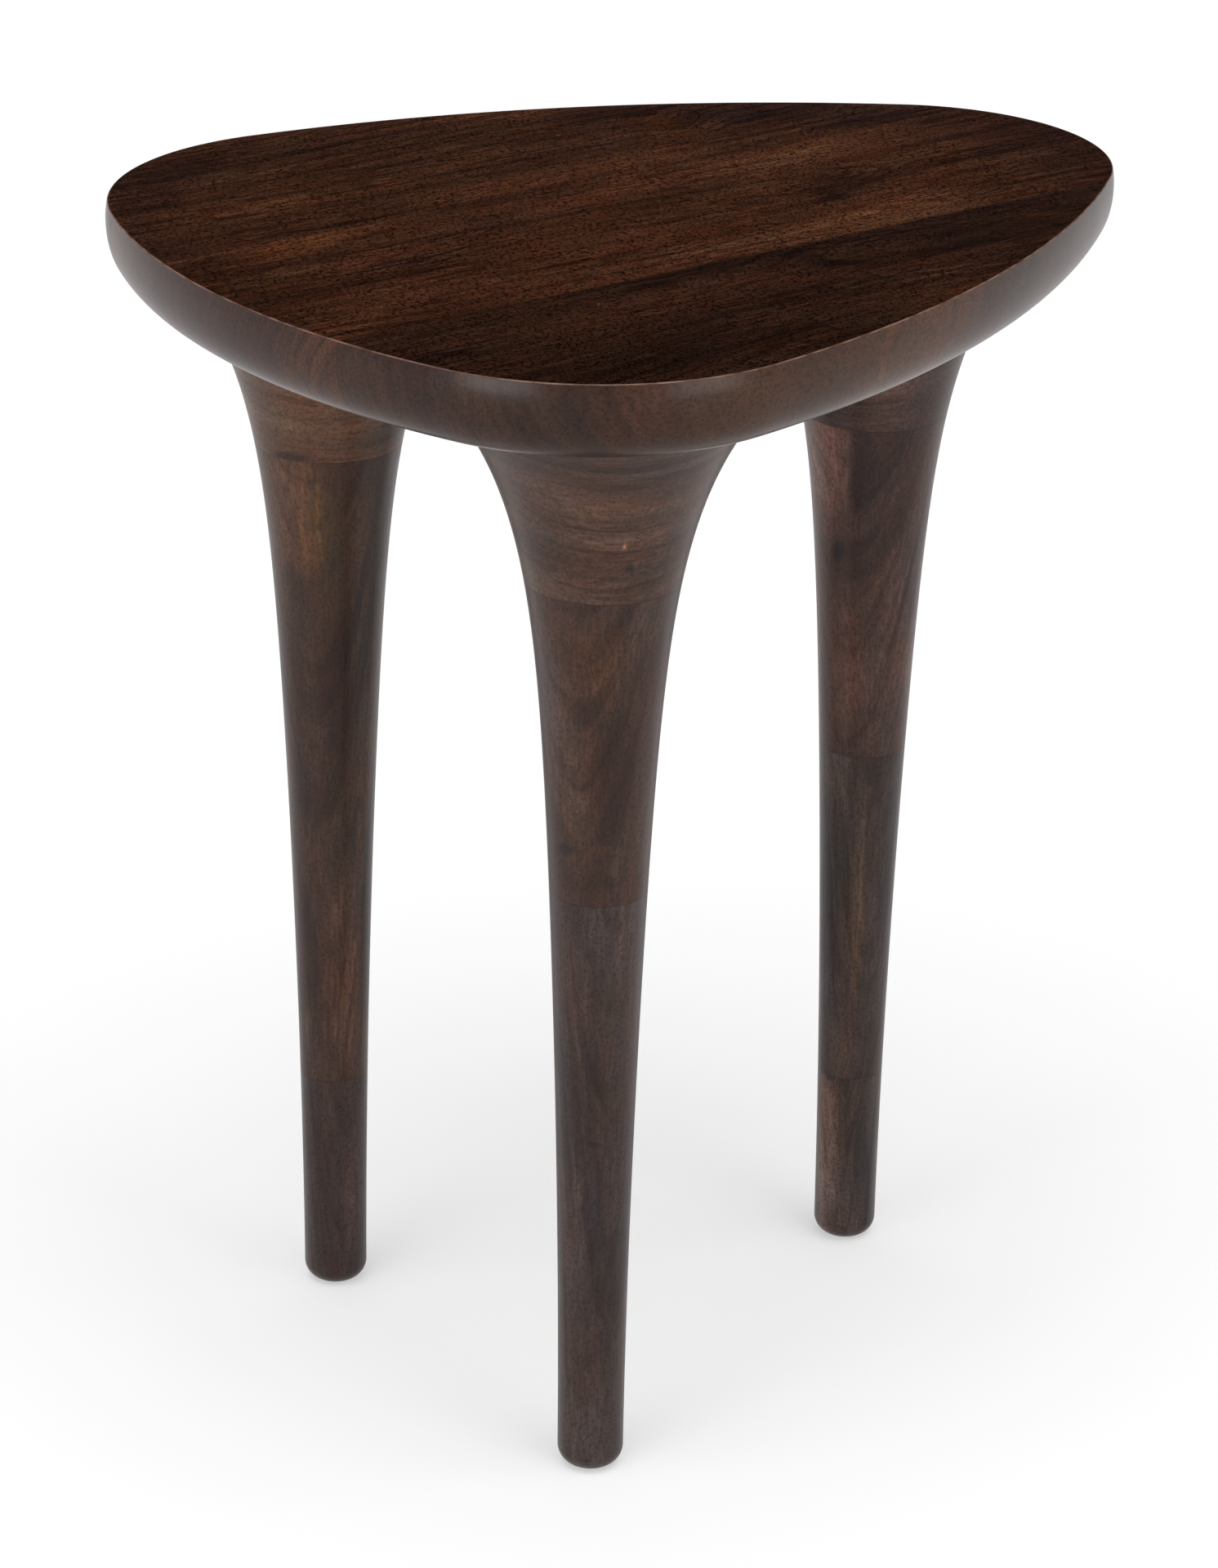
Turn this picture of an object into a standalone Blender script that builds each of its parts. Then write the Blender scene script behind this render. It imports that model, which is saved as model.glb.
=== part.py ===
"""A triangular side table: a glued-up board top on three turned legs.

Metres, +Z up. The origin is on the floor under the middle of the top's box, +X points at
the narrow tip of the top, and the outline is mirror symmetric about the XZ plane.
Each leg is turned from a built-up blank: a wide head block glued on lengths of shaft. It
screws to the top on a steel hanger bolt, whose upper end runs in a threaded insert.
"""
import math

import bmesh
import bpy

# The table as a whole
table_height = 0.550
top_thickness = 0.036
top_length = 0.464
top_width = 0.400

# The plan of the top: three round corners joined by three shallow sides, all tangent
tip_radius = 0.096
corner_radius = 0.111
flank_radius = 0.570
back_radius = 0.364
outline_chord = 0.012

# The edge of the top: a crisp arris, a narrow upright band, then a full round-under
arris_round = 0.0008
edge_band = 0.0035
edge_undercut = 0.019
edge_fullness = 2.35
arris_steps = 2
undercut_steps = 8

# The boards of the top, counted from the -Y side; the back board takes what is left
front_board_width = 0.1235
middle_board_width = 0.129

# Where the leg axes stand, measured in from the tip, from the long sides and from the back
tip_leg_inset = 0.108
side_leg_inset = 0.094
back_leg_inset = 0.1225

# The turning of a leg: its radius grows from the foot by a slow swell and a late flare
foot_radius = 0.015
foot_round = 0.009
leg_swell = 0.0193
head_flare = 0.0325
swell_power = 1.87
flare_power = 11.0
shaft_pitch = 0.040
flare_pitch = 0.0095
foot_steps = 4
leg_sides = 32

# The lengths that a leg's blank is built up from; the rest of its shaft is one length more
head_block_height = 0.081
front_upper_length = 0.1445
back_foot_length = 0.113
tip_upper_length = 0.168
tip_foot_length = 0.0915

# The wooden dowels across the glue joints of a leg
head_dowel_radius = 0.008
head_dowel_length = 0.040
shaft_dowel_radius = 0.005
shaft_dowel_length = 0.040
dowel_chamfer = 0.001
bore_end_room = 0.001

# The hanger bolt in a head block, and the threaded insert in the top that it runs in
bolt_radius = 0.004
bolt_wood_length = 0.034
bolt_metal_length = 0.016
bolt_point = 0.009
bolt_chamfer = 0.0008
insert_wall = 0.0027
insert_length = 0.018
hardware_sides = 16

# Gaps between touching pieces, and how far a cut runs past what it cuts
glue_gap = 0.0003
seat_gap = 0.0003
thread_gap = 0.0003
cut_overrun = 0.010

# Edges that turn more sharply than this are shaded as corners
corner_angle = math.radians(35)

# Heights and places worked out from the sizes above
leg_height = table_height - top_thickness - seat_gap
head_joint = leg_height - head_block_height
insert_radius = bolt_radius + thread_gap + insert_wall
tip_leg_place = (top_length / 2 - tip_leg_inset, 0.0, 0.0)
front_leg_place = (back_leg_inset - top_length / 2, side_leg_inset - top_width / 2, 0.0)
back_leg_place = (back_leg_inset - top_length / 2, top_width / 2 - side_leg_inset, 0.0)
front_seam = front_board_width - top_width / 2
back_seam = front_seam + middle_board_width

# Each leg's name, its place, and its shaft's lengths as (name, height of the upper end)
legs = (
    ("front_leg", front_leg_place, (
        ("upper_shaft", head_joint),
        ("lower_shaft", head_joint - front_upper_length),
    )),
    ("back_leg", back_leg_place, (
        ("upper_shaft", head_joint),
        ("lower_shaft", back_foot_length),
    )),
    ("tip_leg", tip_leg_place, (
        ("upper_shaft", head_joint),
        ("middle_shaft", head_joint - tip_upper_length),
        ("lower_shaft", tip_foot_length),
    )),
)

# Display colours of the woods and the metal, as 8-bit red, green and blue
front_board_colour = (58, 34, 24)
middle_board_colour = (82, 50, 34)
back_board_colour = (72, 44, 31)
head_block_colour = (78, 52, 41)
shaft_colour = (74, 57, 46)
dowel_colour = (196, 160, 112)
steel_colour = (150, 148, 144)
zinc_colour = (166, 162, 150)


def linear(channel):
    """One 8-bit display value as linear light."""
    value = channel / 255
    return value / 12.92 if value <= 0.04045 else ((value + 0.055) / 1.055) ** 2.4


def surface(name, display_colour, roughness, metallic=0.0):
    """A Principled material of one display colour."""
    material = bpy.data.materials.new(name)
    material.use_nodes = True
    shader = material.node_tree.nodes["Principled BSDF"]
    colour = [linear(channel) for channel in display_colour] + [1.0]
    shader.inputs["Base Color"].default_value = colour
    shader.inputs["Roughness"].default_value = roughness
    shader.inputs["Metallic"].default_value = metallic
    material.diffuse_color = colour
    return material


def new_collection(name):
    """A collection linked to the scene."""
    group = bpy.data.collections.new(name)
    bpy.context.scene.collection.children.link(group)
    return group


def place(name, mesh, group, parent=None, location=(0.0, 0.0, 0.0)):
    """An object in a collection, placed under its parent; with no mesh it is an empty."""
    piece = bpy.data.objects.new(name, mesh)
    group.objects.link(piece)
    piece.parent = parent
    piece.location = location
    return piece


def shade(mesh, material):
    """Give a mesh its material, smooth but for its corners."""
    mesh.materials.append(material)
    mesh.shade_smooth()
    mesh.set_sharp_from_angle(angle=corner_angle)


def turned(name, profile, group, parent, material, sides):
    """A solid turned about its parent's Z from (radius, height) points down its outer side."""
    wire = bpy.data.meshes.new(name)
    edges = [(i, i + 1) for i in range(len(profile) - 1)]
    wire.from_pydata([(radius, 0.0, height) for radius, height in profile], edges, [])
    piece = place(name, wire, group, parent)
    screw = piece.modifiers.new("turning", "SCREW")
    screw.axis = "Z"
    screw.angle = math.tau
    screw.steps = sides
    screw.render_steps = sides
    screw.use_merge_vertices = True
    screw.merge_threshold = 0.00001
    evaluated = piece.evaluated_get(bpy.context.evaluated_depsgraph_get())
    piece.data = bpy.data.meshes.new_from_object(evaluated)
    piece.modifiers.clear()
    bpy.data.meshes.remove(wire)
    shade(piece.data, material)
    return piece


def bearing(start, end):
    """The direction from one point to another, as an angle from +X."""
    return math.atan2(end[1] - start[1], end[0] - start[0])


def holding_centre(first, first_radius, second, second_radius, radius):
    """The centre of a circle that two smaller ones touch from inside, on their outer side."""
    span = math.dist(first, second)
    to_first = radius - first_radius
    to_second = radius - second_radius
    along = (to_first ** 2 - to_second ** 2 + span ** 2) / (2 * span)
    aside = math.sqrt(to_first ** 2 - along ** 2)
    unit_x = (second[0] - first[0]) / span
    unit_y = (second[1] - first[1]) / span
    return (first[0] + unit_x * along - unit_y * aside, first[1] + unit_y * along + unit_x * aside)


def outline_arcs():
    """The outline's +Y half, tip to back, as arcs of (centre, radius, start, end)."""
    tip_centre = (top_length / 2 - tip_radius, 0.0)
    back_centre = (back_radius - top_length / 2, 0.0)
    corner_y = top_width / 2 - corner_radius
    reach = math.sqrt((back_radius - corner_radius) ** 2 - corner_y ** 2)
    corner_centre = (back_centre[0] - reach, corner_y)
    flank_centre = holding_centre(tip_centre, tip_radius, corner_centre, corner_radius, flank_radius)
    tip_end = bearing(flank_centre, tip_centre)
    corner_start = bearing(flank_centre, corner_centre)
    corner_end = bearing(back_centre, corner_centre)
    return (
        (tip_centre, tip_radius, 0.0, tip_end),
        (flank_centre, flank_radius, tip_end, corner_start),
        (corner_centre, corner_radius, corner_start, corner_end),
        (back_centre, back_radius, corner_end, math.pi),
    )


def outline(inset):
    """The whole plan outline moved inwards by inset, as (x, y) points in order."""
    half = []
    for centre, radius, start, end in outline_arcs():
        count = max(2, round(radius * (end - start) / outline_chord))
        reach = radius - inset
        for i in range(count):
            angle = start + (end - start) * i / count
            half.append((centre[0] + reach * math.cos(angle), centre[1] + reach * math.sin(angle)))
    back = (inset - top_length / 2, 0.0)
    mirrored = [(x, -y) for x, y in reversed(half[1:])]
    return half + [back] + mirrored


def edge_profile():
    """(inset, height) pairs down the edge of the top, from its upper face at height 0."""
    pairs = []
    for i in range(arris_steps + 1):
        angle = math.pi / 2 * i / arris_steps
        pairs.append((arris_round * (1 - math.sin(angle)), arris_round * (math.cos(angle) - 1)))
    for i in range(undercut_steps + 1):
        angle = math.pi / 2 * i / undercut_steps
        inward = 1 - math.cos(angle) ** (2 / edge_fullness)
        downward = math.sin(angle) ** (2 / edge_fullness)
        drop = edge_band + (top_thickness - edge_band) * downward
        pairs.append((edge_undercut * inward, -drop))
    return pairs


def top_blank():
    """The whole glued-up top, its upper face at height 0, lofted through inset outlines."""
    blank = bmesh.new()
    rings = []
    for inset, height in edge_profile():
        rings.append([blank.verts.new((x, y, height)) for x, y in outline(inset)])
    for upper, lower in zip(rings, rings[1:]):
        for i in range(len(upper)):
            j = (i + 1) % len(upper)
            blank.faces.new((upper[i], lower[i], lower[j], upper[j]))
    blank.faces.new(rings[0])
    blank.faces.new(reversed(rings[-1]))
    bmesh.ops.recalc_face_normals(blank, faces=blank.faces)
    mesh = bpy.data.meshes.new("top_blank")
    blank.to_mesh(mesh)
    blank.free()
    return mesh


def as_cutter(cutter, name, group, parent, location):
    """Make the object just added a cutter, drawn as a wire and never rendered."""
    cutter.name = name
    for owner in list(cutter.users_collection):
        owner.objects.unlink(cutter)
    group.objects.link(cutter)
    cutter.parent = parent
    cutter.location = location
    cutter.hide_render = True
    cutter.display_type = "WIRE"
    return cutter


def boolean(piece, cutter, operation):
    """Cut a piece with one cutter, or keep only what lies inside it."""
    cut = piece.modifiers.new(cutter.name, "BOOLEAN")
    cut.operation = operation
    cut.solver = "EXACT"
    cut.object = cutter


def insert_holes(cutters, top):
    """A blind hole up into the top's underside for each leg's threaded insert."""
    depth = max(insert_length, bolt_metal_length) + bore_end_room
    length = depth + cut_overrun
    middle = depth - top_thickness - length / 2
    holes = []
    for name, spot, _ in legs:
        radius = insert_radius + thread_gap
        bpy.ops.mesh.primitive_cylinder_add(vertices=hardware_sides, radius=radius, depth=length)
        location = (spot[0], spot[1], middle)
        holes.append(as_cutter(bpy.context.object, name + "_insert_hole", cutters, top, location))
    return holes


def board_strip(name, low, high, cutters, top):
    """A box round one board's share of the top, between two values of Y."""
    bpy.ops.mesh.primitive_cube_add(size=1.0)
    strip = bpy.context.object
    strip.scale = (top_length + 2 * cut_overrun, high - low, top_thickness + 2 * cut_overrun)
    bpy.ops.object.transform_apply(location=False, rotation=False, scale=True)
    return as_cutter(strip, name + "_strip", cutters, top, (0.0, (low + high) / 2, -top_thickness / 2))


def build_top(parts, cutters):
    """The three boards of the top, each with the insert holes that fall in it."""
    top = place("top", None, parts, location=(0.0, 0.0, table_height))
    blank = top_blank()
    holes = insert_holes(cutters, top)
    outer = top_width / 2 + cut_overrun
    half_gap = glue_gap / 2
    boards = (
        ("top_board_front", -outer, front_seam - half_gap, front_board_colour),
        ("top_board_middle", front_seam + half_gap, back_seam - half_gap, middle_board_colour),
        ("top_board_back", back_seam + half_gap, outer, back_board_colour),
    )
    for name, low, high, colour in boards:
        board = place(name, blank.copy(), parts, top)
        shade(board.data, surface(name, colour, 0.42))
        for hole in holes:
            boolean(board, hole, "DIFFERENCE")
        boolean(board, board_strip(name, low, high, cutters, top), "INTERSECT")


def leg_radius(height):
    """The turned radius of a leg at a height above the floor."""
    share = height / leg_height
    return foot_radius + leg_swell * share ** swell_power + head_flare * share ** flare_power


def outer_side(upper, lower):
    """The turned side between two heights, in closer steps in the head block's flare."""
    pitch = flare_pitch if upper > head_joint else shaft_pitch
    count = max(2, math.ceil((upper - lower) / pitch))
    heights = [upper + (lower - upper) * i / count for i in range(count + 1)]
    return [(leg_radius(height), height) for height in heights]


def foot_end():
    """The rounded end of a leg, from the top of its round down to the middle of its flat."""
    widest = leg_radius(foot_round)
    points = []
    for i in range(1, foot_steps + 1):
        angle = math.pi / 2 * i / foot_steps
        points.append((widest - foot_round * (1 - math.cos(angle)), foot_round * (1 - math.sin(angle))))
    return points + [(0.0, 0.0)]


def upper_bore(height, radius, depth):
    """A blind bore down from the upper end of a piece, as the start of its profile."""
    return [(0.0, height - depth), (radius, height - depth), (radius, height)]


def lower_bore(height, radius, depth):
    """A blind bore up from the lower end of a piece, as the end of its profile."""
    return [(radius, height), (radius, height + depth), (0.0, height + depth)]


def dowel_bore(radius, length):
    """The radius and the depth of the bore for one half of a dowel."""
    return (radius + glue_gap, length / 2 + bore_end_room)


def head_block_profile():
    """The wide block at a leg's upper end, bored for the hanger bolt and for the head dowel."""
    lower = head_joint + glue_gap / 2
    start = upper_bore(leg_height, bolt_radius + thread_gap, bolt_wood_length + bore_end_room)
    end = lower_bore(lower, *dowel_bore(head_dowel_radius, head_dowel_length))
    return start + outer_side(leg_height, lower) + end


def shaft_profile(upper, lower, dowel_radius, dowel_length):
    """One length of shaft; the one that stands on the floor has its lower end at height 0."""
    upper -= glue_gap / 2
    start = upper_bore(upper, *dowel_bore(dowel_radius, dowel_length))
    if lower == 0:
        return start + outer_side(upper, foot_round) + foot_end()
    lower += glue_gap / 2
    end = lower_bore(lower, *dowel_bore(shaft_dowel_radius, shaft_dowel_length))
    return start + outer_side(upper, lower) + end


def dowel_profile(radius, length, joint):
    """A round dowel with chamfered ends, half above and half below a glue joint."""
    top = joint + length / 2
    bottom = joint - length / 2
    narrow = radius - dowel_chamfer
    return [
        (0.0, top),
        (narrow, top),
        (radius, top - dowel_chamfer),
        (radius, bottom + dowel_chamfer),
        (narrow, bottom),
        (0.0, bottom),
    ]


def hanger_bolt_profile():
    """A hanger bolt: metal thread above the head block, pointed wood thread inside it."""
    top = leg_height + bolt_metal_length
    bottom = leg_height - bolt_wood_length
    return [
        (0.0, top),
        (bolt_radius - bolt_chamfer, top),
        (bolt_radius, top - bolt_chamfer),
        (bolt_radius, bottom + bolt_point),
        (0.0, bottom),
    ]


def insert_profile():
    """A threaded insert: a sleeve round the bolt's upper end, as a closed loop of points."""
    bottom = leg_height + seat_gap
    top = bottom + insert_length
    bore = bolt_radius + thread_gap
    return [(bore, top), (insert_radius, top), (insert_radius, bottom), (bore, bottom), (bore, top)]


def build_leg(name, spot, lengths, parts):
    """One leg: its head block, the lengths of its shaft, their dowels and its hardware."""
    leg = place(name, None, parts, location=spot)
    title = name + "_head_block"
    turned(title, head_block_profile(), parts, leg, surface(title, head_block_colour, 0.48), leg_sides)
    lower_ends = [upper for _, upper in lengths[1:]] + [0.0]
    for (length_name, upper), lower in zip(lengths, lower_ends):
        under_head = upper == head_joint
        radius = head_dowel_radius if under_head else shaft_dowel_radius
        length = head_dowel_length if under_head else shaft_dowel_length
        title = name + "_" + length_name
        profile = shaft_profile(upper, lower, radius, length)
        turned(title, profile, parts, leg, surface(title, shaft_colour, 0.5), leg_sides)
        title += "_dowel"
        profile = dowel_profile(radius, length, upper)
        turned(title, profile, parts, leg, surface(title, dowel_colour, 0.6), hardware_sides)
    title = name + "_hanger_bolt"
    steel = surface(title, steel_colour, 0.35, 1.0)
    turned(title, hanger_bolt_profile(), parts, leg, steel, hardware_sides)
    title = name + "_threaded_insert"
    zinc = surface(title, zinc_colour, 0.4, 1.0)
    turned(title, insert_profile(), parts, leg, zinc, hardware_sides)


def main():
    """Clear the scene, then build the top and the three legs."""
    for old in list(bpy.data.objects):
        bpy.data.objects.remove(old, do_unlink=True)
    parts = new_collection("triangular_side_table")
    cutters = new_collection("cutters")
    build_top(parts, cutters)
    for name, spot, lengths in legs:
        build_leg(name, spot, lengths, parts)


main()
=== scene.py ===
"""The looks of the triangular side table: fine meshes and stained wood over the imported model.

Metres, in the model's own frame: +Z up, +X towards the narrow tip of the top, and the floor
at height 0. The boards, head blocks and shafts are lofted and turned again here in fine
steps from the same driving dimensions. Each length of wood has a grain of its own.
"""
import math
from collections import namedtuple

import bmesh
import bpy
from mathutils import Matrix, Vector


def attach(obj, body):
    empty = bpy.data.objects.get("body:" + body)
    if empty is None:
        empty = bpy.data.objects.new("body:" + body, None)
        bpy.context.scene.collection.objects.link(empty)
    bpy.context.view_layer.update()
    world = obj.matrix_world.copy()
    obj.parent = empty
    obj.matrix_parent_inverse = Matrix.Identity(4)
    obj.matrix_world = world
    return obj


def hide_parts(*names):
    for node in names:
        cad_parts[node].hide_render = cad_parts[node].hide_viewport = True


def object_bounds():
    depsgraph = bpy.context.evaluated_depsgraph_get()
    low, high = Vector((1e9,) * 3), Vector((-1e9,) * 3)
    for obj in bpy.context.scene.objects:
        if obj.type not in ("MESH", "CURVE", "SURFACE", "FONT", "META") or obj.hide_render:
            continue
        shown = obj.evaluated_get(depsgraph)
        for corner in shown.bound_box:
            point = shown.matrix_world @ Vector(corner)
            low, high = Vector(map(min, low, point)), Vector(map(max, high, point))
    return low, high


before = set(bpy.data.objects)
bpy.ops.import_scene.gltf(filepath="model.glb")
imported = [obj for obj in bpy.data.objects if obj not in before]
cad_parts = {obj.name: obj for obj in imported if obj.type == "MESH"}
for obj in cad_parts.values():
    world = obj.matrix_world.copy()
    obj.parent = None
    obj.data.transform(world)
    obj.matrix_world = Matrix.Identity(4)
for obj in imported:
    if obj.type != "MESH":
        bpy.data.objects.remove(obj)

cad_low, cad_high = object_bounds()

# The table as a whole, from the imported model's box. Seams and side legs are measured in from
# the sides of a top of exactly this half width
table_height = cad_high.z
top_length = cad_high.x - cad_low.x
top_width = cad_high.y - cad_low.y
top_half_width = 0.200
top_thickness = 0.036

# The plan of the top: three round corners joined by three shallow sides, all tangent
tip_radius = 0.096
corner_radius = 0.111
flank_radius = 0.570
back_radius = 0.364
outline_chord = 0.0022

# The edge of the top: a crisp arris, a band that eases out to the widest line, then a full
# round-under
arris_round = 0.0008
edge_ease = 0.0007
edge_band = 0.008
edge_undercut = 0.019
edge_fullness = 2.2
arris_steps = 5
band_steps = 6
undercut_steps = 36

# The boards of the top, counted from the -Y side; the back board takes what is left
front_board_width = 0.1235
middle_board_width = 0.129
front_seam = front_board_width - top_half_width
back_seam = front_seam + middle_board_width
seam_gap = 0.00004

# Where the leg axes stand, measured in from the tip, from the long sides and from the back
tip_leg_inset = 0.108
side_leg_inset = 0.094
back_leg_inset = 0.1225

# The turning of a leg: its radius grows from the foot by a slow swell and a late flare, and
# it ends a hair under the top
foot_radius = 0.015
foot_round = 0.009
leg_swell = 0.0193
head_flare = 0.0325
swell_power = 1.87
flare_power = 11.0
under_top_gap = 0.0003
leg_height = table_height - top_thickness - under_top_gap
shaft_pitch = 0.004
flare_pitch = 0.0015
foot_steps = 12
leg_sides = 144

# The lengths that a leg's blank is built up from, and the hair gap between two of them
head_length = 0.081
front_upper_length = 0.1445
tip_upper_length = 0.168
head_joint = leg_height - head_length
front_joint = head_joint - front_upper_length
back_joint = 0.113
tip_upper_joint = head_joint - tip_upper_length
tip_lower_joint = 0.0915
joint_gap = 0.00005

# Bores for the dowels, the hanger bolts and the inserts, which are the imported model's own
head_bore_radius = 0.0083
shaft_bore_radius = 0.0053
dowel_bore_depth = 0.021
bolt_bore_radius = 0.0043
bolt_bore_depth = 0.035
insert_hole_radius = 0.0073
insert_hole_depth = 0.019
hole_sides = 48
cut_overrun = 0.010

# Edges sharper than the angle, and the rims of faces that are this level, are shaded as
# corners. Points of a turned piece that are this close together become one
corner_angle = math.radians(35)
level_normal = 0.9999
weld_reach = 0.00001

tip_spot = (top_length / 2 - tip_leg_inset, 0.0)
front_spot = (back_leg_inset - top_length / 2, side_leg_inset - top_half_width)
back_spot = (back_leg_inset - top_length / 2, top_half_width - side_leg_inset)


def bearing(start, end):
    """The direction from one point to another, as an angle from +X."""
    return math.atan2(end[1] - start[1], end[0] - start[0])


def holding_centre(first, first_radius, second, second_radius, radius):
    """The centre of a circle that two smaller ones touch from inside, on their outer side."""
    span = math.dist(first, second)
    to_first = radius - first_radius
    to_second = radius - second_radius
    along = (to_first ** 2 - to_second ** 2 + span ** 2) / (2 * span)
    aside = math.sqrt(to_first ** 2 - along ** 2)
    unit_x = (second[0] - first[0]) / span
    unit_y = (second[1] - first[1]) / span
    return (first[0] + unit_x * along - unit_y * aside, first[1] + unit_y * along + unit_x * aside)


def outline_arcs():
    """The outline's +Y half, tip to back, as arcs of (centre, radius, start, end)."""
    tip_centre = (top_length / 2 - tip_radius, 0.0)
    back_centre = (back_radius - top_length / 2, 0.0)
    corner_y = top_width / 2 - corner_radius
    reach = math.sqrt((back_radius - corner_radius) ** 2 - corner_y ** 2)
    corner_centre = (back_centre[0] - reach, corner_y)
    flank_centre = holding_centre(
        tip_centre, tip_radius, corner_centre, corner_radius, flank_radius
    )
    tip_end = bearing(flank_centre, tip_centre)
    corner_start = bearing(flank_centre, corner_centre)
    corner_end = bearing(back_centre, corner_centre)
    return (
        (tip_centre, tip_radius, 0.0, tip_end),
        (flank_centre, flank_radius, tip_end, corner_start),
        (corner_centre, corner_radius, corner_start, corner_end),
        (back_centre, back_radius, corner_end, math.pi),
    )


def outline(inset):
    """The whole plan outline moved inwards by inset, as (x, y) points in order."""
    half = []
    for centre, radius, start, end in outline_arcs():
        count = max(2, round(radius * (end - start) / outline_chord))
        reach = radius - inset
        for i in range(count):
            angle = start + (end - start) * i / count
            half.append((centre[0] + reach * math.cos(angle), centre[1] + reach * math.sin(angle)))
    back = (inset - top_length / 2, 0.0)
    mirrored = [(x, -y) for x, y in reversed(half[1:])]
    return half + [back] + mirrored


def edge_profile():
    """(inset, height) pairs down the edge of the top."""
    pairs = []
    for i in range(arris_steps + 1):
        angle = math.pi / 2 * i / arris_steps
        inset = edge_ease + arris_round * (1 - math.sin(angle))
        pairs.append((inset, table_height - arris_round * (1 - math.cos(angle))))
    for i in range(1, band_steps):
        share = i / band_steps
        inset = edge_ease * (1 - math.sin(math.pi / 2 * share))
        pairs.append((inset, table_height - arris_round - (edge_band - arris_round) * share))
    for i in range(undercut_steps + 1):
        angle = math.pi / 2 * i / undercut_steps
        inward = 1 - math.cos(angle) ** (2 / edge_fullness)
        downward = math.sin(angle) ** (2 / edge_fullness)
        drop = edge_band + (top_thickness - edge_band) * downward
        pairs.append((edge_undercut * inward, table_height - drop))
    return pairs


def top_blank():
    """The whole glued-up top, lofted through inset outlines."""
    blank = bmesh.new()
    rings = []
    for inset, height in edge_profile():
        rings.append([blank.verts.new((x, y, height)) for x, y in outline(inset)])
    for upper, lower in zip(rings, rings[1:]):
        for i in range(len(upper)):
            j = (i + 1) % len(upper)
            blank.faces.new((upper[i], lower[i], lower[j], upper[j]))
    blank.faces.new(rings[0])
    blank.faces.new(reversed(rings[-1]))
    bmesh.ops.recalc_face_normals(blank, faces=blank.faces)
    return blank


def cut_off(blank, place, side):
    """Keep what lies on one side of the plane at a value of Y, and close the cut."""
    cut = bmesh.ops.bisect_plane(
        blank,
        geom=blank.verts[:] + blank.edges[:] + blank.faces[:],
        plane_co=(0.0, place, 0.0),
        plane_no=(0.0, side, 0.0),
        clear_inner=True,
    )
    rim = [item for item in cut["geom_cut"] if isinstance(item, bmesh.types.BMEdge)]
    bmesh.ops.contextual_create(blank, geom=rim)


def add_object(name, data):
    """A new object in the scene's own collection, for a mesh, a lamp or a camera."""
    made = bpy.data.objects.new(name, data)
    bpy.context.scene.collection.objects.link(made)
    return made


def baked_down(piece):
    """Replace a piece's mesh by what its modifiers make of it."""
    evaluated = piece.evaluated_get(bpy.context.evaluated_depsgraph_get())
    mesh = bpy.data.meshes.new_from_object(evaluated)
    piece.modifiers.clear()
    piece.data = mesh


def drill(piece, spots):
    """Cut a blind hole for a threaded insert up into the underside at each spot."""
    for x, y in spots:
        top = table_height - top_thickness + insert_hole_depth
        length = insert_hole_depth + cut_overrun
        bpy.ops.mesh.primitive_cylinder_add(
            vertices=hole_sides,
            radius=insert_hole_radius,
            depth=length,
            location=(x, y, top - length / 2),
        )
        cutter = bpy.context.object
        cut = piece.modifiers.new("insert hole", "BOOLEAN")
        cut.operation = "DIFFERENCE"
        cut.object = cutter
        baked_down(piece)
        bpy.data.objects.remove(cutter, do_unlink=True)


def shade_flats(mesh):
    """Smooth shading, but for corners and the rims of the flat upper and lower faces."""
    mesh.shade_smooth()
    mesh.set_sharp_from_angle(angle=corner_angle)
    shape = bmesh.new()
    shape.from_mesh(mesh)
    for edge in shape.edges:
        level = [abs(face.normal.z) > level_normal for face in edge.link_faces]
        if any(level) and not all(level):
            edge.smooth = False
    shape.to_mesh(mesh)
    shape.free()


def dress(piece, node, material):
    """Let a fine piece stand for its node and its material."""
    piece.data.materials.clear()
    piece.data.materials.append(material)
    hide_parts(node)
    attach(piece, "root")


def make_board(node, low, high, spots):
    """One board of the top between two values of Y, with the insert holes that fall in it."""
    blank = top_blank()
    if low is not None:
        cut_off(blank, low + seam_gap / 2, 1.0)
    if high is not None:
        cut_off(blank, high - seam_gap / 2, -1.0)
    mesh = bpy.data.meshes.new(node + "_fine")
    blank.to_mesh(mesh)
    blank.free()
    board = add_object(node + "_fine", mesh)
    drill(board, spots)
    shade_flats(board.data)
    return board


def leg_radius(height):
    """The turned radius of a leg at a height above the floor."""
    share = height / leg_height
    return foot_radius + leg_swell * share ** swell_power + head_flare * share ** flare_power


def outer_side(upper, lower):
    """The turned side between two heights, in closer steps in the head block's flare."""
    pitch = flare_pitch if upper > head_joint else shaft_pitch
    count = math.ceil((upper - lower) / pitch)
    heights = [upper + (lower - upper) * i / count for i in range(count + 1)]
    return [(leg_radius(height), height) for height in heights]


def foot_end():
    """The rounded end of a leg, from the top of its round down to the middle of its flat."""
    widest = leg_radius(foot_round)
    points = []
    for i in range(1, foot_steps + 1):
        angle = math.pi / 2 * i / foot_steps
        radius = widest - foot_round * (1 - math.cos(angle))
        points.append((radius, foot_round * (1 - math.sin(angle))))
    return points + [(0.0, 0.0)]


def bore(height, radius, depth):
    """A blind bore of a piece: from the middle of its end out to its mouth."""
    return [(0.0, height + depth), (radius, height + depth), (radius, height)]


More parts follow.
